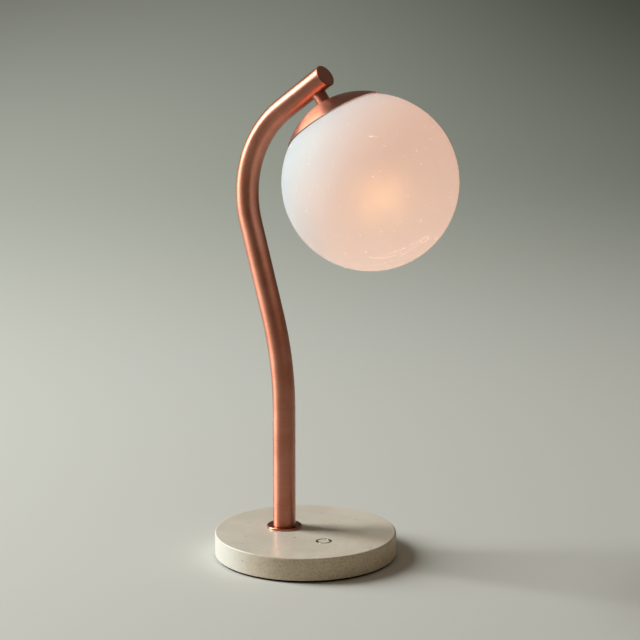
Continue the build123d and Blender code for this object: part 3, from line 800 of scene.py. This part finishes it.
rubber = grained(
    "matt_rubber", (0.006, 0.006, 0.006), (0.013, 0.012, 0.012), 900.0, 0.80, 0.05 * MM,
    {"Specular IOR Level": 0.2},
)
dress(rubber, "foot_pad", "tail_grommet")
tray = grained(
    "moulded_tray", (0.022, 0.022, 0.024), (0.036, 0.036, 0.039), 1300.0, 0.50, 0.03 * MM
)
dress(tray, "inner_tray")
foam = grained("cell_foam", (0.045, 0.045, 0.048), (0.085, 0.085, 0.09), 620.0, 0.85, 0.30 * MM)
dress(foam, "battery_foam")

# %% Wrap, silicone and sleeve
wrap = grained(
    "shrink_wrap", (0.014, 0.045, 0.13), (0.022, 0.062, 0.17), 140.0, 0.20, 0.05 * MM,
    {"Coat Weight": 0.3, "Coat Roughness": 0.1},
)
dress(wrap, "battery_pack")
silicone = grained(
    "clear_silicone", (0.56, 0.56, 0.54), (0.66, 0.66, 0.64), 500.0, 0.42, 0.02 * MM,
    {"Subsurface Weight": 0.3, "Subsurface Scale": 1.5 * MM},
)
dress(silicone, "gallery_gasket")
sleeve = grained("lead_sleeve", (0.66, 0.64, 0.58), (0.75, 0.73, 0.67), 800.0, 0.40, 0.02 * MM)
dress(sleeve, "lamp_lead", "battery_leads", "charge_leads")

# %% [markdown]
# ## The touch ring and the indicator
# The ring is a polished copper inlay that stands a hair proud of the stone. Two dark arcs
# lie in it, opposite each other: they are painted reflections of the dark room in the
# polished ring. They are ridges again, this time laid on a flat face.
# The indicator beside the ring is a smoked light pipe.

# %% The painted dark arcs, each from one angle to another in degrees, and the indicator
ring_low, ring_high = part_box("touch_ring")
ring_middle = (ring_low + ring_high) / 2
arc_inset = 1.0 * MM
arc_radius = (ring_high.x - ring_low.x) / 2 - arc_inset
arc_width, arc_height = 2.5 * MM, 0.14 * MM
arc_ends = ((199, 279), (24, 90))
arc_steps = 24
# This near-black finish paints the dark room's reflection in the polished ring.
reflection_paint = grained(
    "painted_dark_reflection", (0.020, 0.014, 0.012), (0.034, 0.024, 0.02), 900.0, 0.32, 0.01 * MM
)


def ring_face(spot, rise=0.0):
    return Vector((spot.x, spot.y, ring_high.z + rise))


points, faces = [], []
for first, last in arc_ends:
    turns = [radians(first + (last - first) * i / arc_steps) for i in range(arc_steps + 1)]
    path = [ring_middle + Vector((cos(a), sin(a), 0)) * arc_radius for a in turns]
    add_ridge(points, faces, ring_face, path, arc_width, arc_height)
piece_from("touch_ring_reflections", points, faces, reflection_paint, "stand")
smoked = grained(
    "smoked_plastic", (0.008, 0.007, 0.006), (0.016, 0.013, 0.011), 700.0, 0.32, 0.01 * MM,
    {"Specular IOR Level": 0.1},
)
dress(smoked, "indicator_lens")

# %% [markdown]
# ## The pad's soft lip
# The rubber pad under the stone is set in from its edge, and its moulded rim bulges a little
# where the weight presses on it. One small section, swept once round the pad, makes that
# rim. It fills most of the dark gap under the stone.

# %% The lip: steps out from the pad's edge and up from the table, in mm
pad_low, pad_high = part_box("foot_pad")
pad_radius = (pad_high.x - pad_low.x) / 2
lip_section = (
    (-0.6, 0.10), (1.6, 0.05), (2.2, 0.35), (2.3, 1.0), (2.2, 1.6), (1.6, 1.92), (-0.6, 1.90),
)
lip_sides = 180
points, faces = [], []
for side in range(lip_sides):
    turn = 2 * pi * side / lip_sides
    for out, up in lip_section:
        reach = pad_radius + out * MM
        points.append((reach * cos(turn), reach * sin(turn), up * MM))
ring = len(lip_section)
for side in range(lip_sides):
    a, b = side * ring, (side + 1) % lip_sides * ring
    for k in range(ring):
        m = (k + 1) % ring
        faces.append((a + k, b + k, b + m, a + m))
piece_from("pad_lip", points, faces, rubber, "stand")

# %% [markdown]
# ## Turned and plated metal
# Nuts, posts and plates were turned on a lathe or plated. The lathe's rings come from the
# shared brush marks, laid round each part's own axis. Zinc plating grows in small plates of
# slightly different grey, which a Voronoi texture gives. Threads are drawn by one more
# group: a ridge that winds round an axis, one turn for each pitch.

# %% The screw_thread group


def build_screw_thread(tree, given, result):
    x, y, z = parts_of(given["Vector"])
    turn = y.math("ARCTAN2", x) / (2 * pi)
    place = z / Field(given["Pitch"]) + turn
    feed(result["Height"], (place.math("FRACT") - 0.5).math("ABSOLUTE") * 2.0)


screw_thread = shader_group(
    "screw_thread", {"Vector": None, "Pitch": 1 * MM}, ("Height",), build_screw_thread
)

# %% Turned metal, with or without a thread


def turned(name, place, bright, dull, gloss, pitch=None):
    def build(tree, shader):
        height, tone = use_group(brush_marks, round_an_axis(*place)(tree), Fineness=0.8)
        handled, = use_group(soft_patches, place_on(tree), Scale=60.0)
        feed(shader["Base Color"], blended(tone * 0.6 + handled * 0.4, dull, bright))
        feed(shader["Roughness"], tone * 0.10 + handled * 0.06 + gloss)
        if pitch is None:
            feed(shader["Normal"], bumped(height, 0.3, 0.02 * MM))
        else:
            ridge, = use_group(screw_thread, measured_from(tree, *place), Pitch=pitch)
            feed(shader["Normal"], bumped(ridge, 0.9, pitch / 2))

    return material(name, build, {"Metallic": 1.0})


head_place, foot_place = (globe_centre, head_turn), (foot, (0, 0, 0))
brass = ((0.72, 0.50, 0.20), (0.60, 0.40, 0.15))
grey = ((0.62, 0.62, 0.63), (0.50, 0.50, 0.51))
pale = ((0.76, 0.76, 0.77), (0.64, 0.64, 0.65))
dress(turned("brass_thread", head_place, *brass, 0.24, 1 * MM), "nipple")
dress(turned("turned_brass", head_place, *brass, 0.26), "nipple_nuts")
dress(turned("knurled_brass", foot_place, *brass, 0.30, 0.8 * MM), "plate_inserts")
dress(turned("turned_aluminium", head_place, *pale, 0.30), "gallery", "led_post")
dress(turned("turned_steel", foot_place, *grey, 0.28), "stem_washer", "stem_nut")
dress(turned("steel_thread", foot_place, *grey, 0.28, 1 * MM), "stem_insert")

# %% Zinc plate and polished copper


def build_zinc(tree, shader):
    point = place_on(tree)
    _, shade = use_group(specks, point, Scale=420.0, Sparse=0.0, Size=1.0)
    fine = noise(point, 1800.0, 2.0)
    worn, = use_group(soft_patches, point, Scale=40.0)
    feed(shader["Base Color"], blended(shade * 0.7 + worn * 0.3, grey[1], grey[0]))
    feed(shader["Roughness"], shade * 0.08 + worn * 0.08 + fine * 0.04 + 0.28)
    feed(shader["Normal"], bumped(fine, 0.2, 0.01 * MM))


def build_trim(tree, shader):
    height, tone = use_group(brush_marks, place_on(tree), Fineness=900.0)
    handled, = use_group(soft_patches, place_on(tree), Scale=120.0)
    feed(shader["Base Color"], blended(handled, (0.80, 0.56, 0.45), (0.86, 0.64, 0.53)))
    feed(shader["Roughness"], handled * 0.08 + tone * 0.05 + 0.20)
    feed(shader["Normal"], bumped(height, 0.1, 0.01 * MM))


zinc = material("zinc_plate", build_zinc, {"Metallic": 1.0})
dress(zinc, "base_plate", "plate_screws", "board_screws", "led_screws")
dress(zinc, "charging_socket", "touch_contact")
dress(material("polished_copper", build_trim, {"Metallic": 1.0}), "touch_ring", "socket_bezel")

# %% [markdown]
# ## Circuit boards
# A board is green lacquer over copper tracks, with black parts on top. The tracks are
# evenly spaced lines, which a slow noise switches between two directions. The parts are
# told from the board by their height. On the light board the same is done along the neck's
# axis, so that its small square chips get their yellow phosphor.

# %% The boards
board_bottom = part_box("control_board")[0].z
board_thickness = 1.2 * MM
board_top = board_bottom + board_thickness
track_pitch = 1.3 * MM


def lanes(place):
    """Lines one track apart."""
    return ((place / track_pitch).math("FRACT") - 0.5).math("ABSOLUTE").rising(0.26, 0.30)


def build_green_board(tree, shader):
    point = place_on(tree)
    x, y, z = parts_of(point)
    crossways = noise(stretched(point, (1.0, 1.0, 0.0)), 130.0, 0.0).rising(0.495, 0.505)
    tracks = lanes(x) * crossways + lanes(y) * (crossways * -1.0 + 1.0)
    holes, _ = use_group(specks, point, Scale=340.0, Sparse=0.72, Size=1.2)
    above = (z - board_top).rising(0.02 * MM, 0.06 * MM)
    lacquer = blended(tracks, (0.008, 0.085, 0.030), (0.014, 0.15, 0.055))
    drilled = blended(holes, lacquer, (0.55, 0.50, 0.42))
    feed(shader["Base Color"], blended(above, drilled, (0.018, 0.018, 0.02)))
    feed(shader["Roughness"], above * 0.22 + tracks * 0.05 + 0.24)
    feed(shader["Normal"], bumped(tracks, 0.5, 0.03 * MM))


dress(material("green_board", build_green_board, {"IOR": 1.5}), "control_board", "charge_board")
light_board_low, light_board_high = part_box("led_board")
light_board_radius = (light_board_high.y - light_board_low.y) / 2
low_edge = light_board_low.z + light_board_radius * neck_axis.x
chip_level = (low_edge - globe_centre.z) / neck_axis.z
print("the light board's face is", round(chip_level, 4), "along the neck from the ball's centre")


def build_light_board(tree, shader):
    local = measured_from(tree, globe_centre, head_turn)
    x, y, z = parts_of(local)
    ring = lanes((x * x + y * y).math("SQRT") * 0.5)
    chips = (z - chip_level).rising(0.1 * MM, 0.2 * MM)
    grain = noise(local, 700.0, 2.0)
    white = blended(ring * 0.5 + grain * 0.3, (0.78, 0.78, 0.75), (0.68, 0.68, 0.65))
    feed(shader["Base Color"], blended(chips, white, (0.80, 0.56, 0.10)))
    feed(shader["Roughness"], grain * 0.1 + chips * 0.1 + 0.34)
    feed(shader["Normal"], bumped(ring, 0.4, 0.03 * MM))


dress(material("white_board", build_light_board, {"IOR": 1.5}), "led_board")

# %% [markdown]
# ## The stage
# A pale floor turns up at its edge into a backdrop, all in one sheet, so no line shows
# behind the lamp. Its paint darkens into the distance and towards the studio light on the
# left, where it would otherwise burn out to white. What metal and glass mirror in front is
# darker still, as an unlit room is. Far away the sheet also glows a little, more on the
# left. Only the camera, metal and glass see that glow, so it throws no light on the lamp.
# One large soft light stands on the left and a little behind, as in the photograph, and
# the world fills the shade with a dim warm light.

# %% Floor and backdrop in one sheet
flat_radius = 5.0
cove_radius = 3.0
cove_turn = radians(80)
cove_steps = 24
flat_steps = 10
floor_sides = 96


def stage_sheet():
    profile = [(r * flat_radius / flat_steps, 0.0) for r in range(1, flat_steps + 1)]
    for step in range(1, cove_steps + 1):
        turn = cove_turn * step / cove_steps
        profile.append((flat_radius + cove_radius * sin(turn), cove_radius * (1 - cos(turn))))
    points = [(0.0, 0.0, 0.0)]
    for r, z in profile:
        for i in range(floor_sides):
            angle = 2 * pi * i / floor_sides
            points.append((r * cos(angle), r * sin(angle), z))
    faces = [(0, 1 + i, 1 + (i + 1) % floor_sides) for i in range(floor_sides)]
    for row in range(len(profile) - 1):
        start = 1 + row * floor_sides
        for i in range(floor_sides):
            j = (i + 1) % floor_sides
            faces.append((start + i, start + floor_sides + i, start + floor_sides + j, start + j))
    mesh = bpy.data.meshes.new("stage")
    mesh.from_pydata(points, [], faces)
    mesh.shade_smooth()
    made = bpy.data.objects.new("stage", mesh)
    bpy.context.scene.collection.objects.link(made)
    return made


# %% The stage's paint, with the ways to the picture's right and to the studio light
floor_near = (0.66, 0.655, 0.605)
floor_far = (0.205, 0.215, 0.188)
floor_by_key = (0.06, 0.06, 0.055)
floor_mirrored = (0.08, 0.06, 0.045)
backdrop_left = (0.32, 0.335, 0.29)
backdrop_right = (0.0, 0.006, 0.0)
right_x, right_y = 0.83, 0.56
key_x, key_y = -0.94, -0.34


def build_stage_paint(tree, shader):
    x, y, _ = parts_of(place_on(tree))
    far = (x * x + y * y).math("SQRT").rising(0.35, 2.2)
    rays = tree.nodes.new("ShaderNodeLightPath").outputs
    aside = x * right_x + y * right_y
    behind = y * right_x - x * right_y
    mirrored = Field(rays["Is Glossy Ray"]) * (behind * -1.0).rising(0.25, 0.80)
    keyward = (x * key_x + y * key_y).rising(0.5, 2.6)
    paint = blended(far, floor_near, floor_far)
    paint = blended(keyward * 0.6, paint, floor_by_key)
    feed(shader["Base Color"], blended(mirrored, paint, floor_mirrored))
    seen = Field(rays["Is Camera Ray"]).math("MAXIMUM", Field(rays["Is Transmission Ray"]))
    reflected = Field(rays["Is Glossy Ray"]) * (behind.rising(-1.6, 1.0) * 0.9 + 0.1)
    tint = blended(aside.rising(-1.2, 1.2), backdrop_left, backdrop_right)
    feed(shader["Emission Color"], tint)
    shown = seen.math("MAXIMUM", reflected)
    feed(shader["Emission Strength"], far * shown * (keyward * -0.6 + 1.0))


stage = stage_sheet()
stage.data.materials.append(
    material("stage_paint", build_stage_paint, {"Roughness": 0.7, "Specular IOR Level": 0.3})
)
print("the stage has", len(stage.data.polygons), "faces")

# %% Lamps and world


def softbox(name, place, size, power, colour, aim=Vector((0, 0, 0.2))):
    light = bpy.data.lights.new(name, "AREA")
    light.shape = "RECTANGLE"
    light.size, light.size_y = size
    light.energy = power
    light.color = colour
    made = bpy.data.objects.new(name, light)
    made.location = place
    made.rotation_mode = "QUATERNION"
    made.rotation_quaternion = (aim - Vector(place)).to_track_quat("-Z", "Y")
    made.visible_camera = False
    bpy.context.scene.collection.objects.link(made)
    print("the", name, "light stands", round(Vector(place).length, 2), "m from the lamp's foot")


key_place = (-2.73, -0.99, 1.76)
key_size = (1.35, 2.9)
key_watts = 171.0
key_colour = (0.96, 1.0, 0.99)
sky_colour = (1.0, 0.85, 0.68, 1.0)
sky_strength = 0.13
softbox("key", key_place, key_size, key_watts, key_colour)
world = bpy.data.worlds.new("studio")
world.use_nodes = True
sky = world.node_tree.nodes["Background"].inputs
sky["Color"].default_value = sky_colour
sky["Strength"].default_value = sky_strength
bpy.context.scene.world = world
bpy.context.scene.view_settings.view_transform = "Standard"
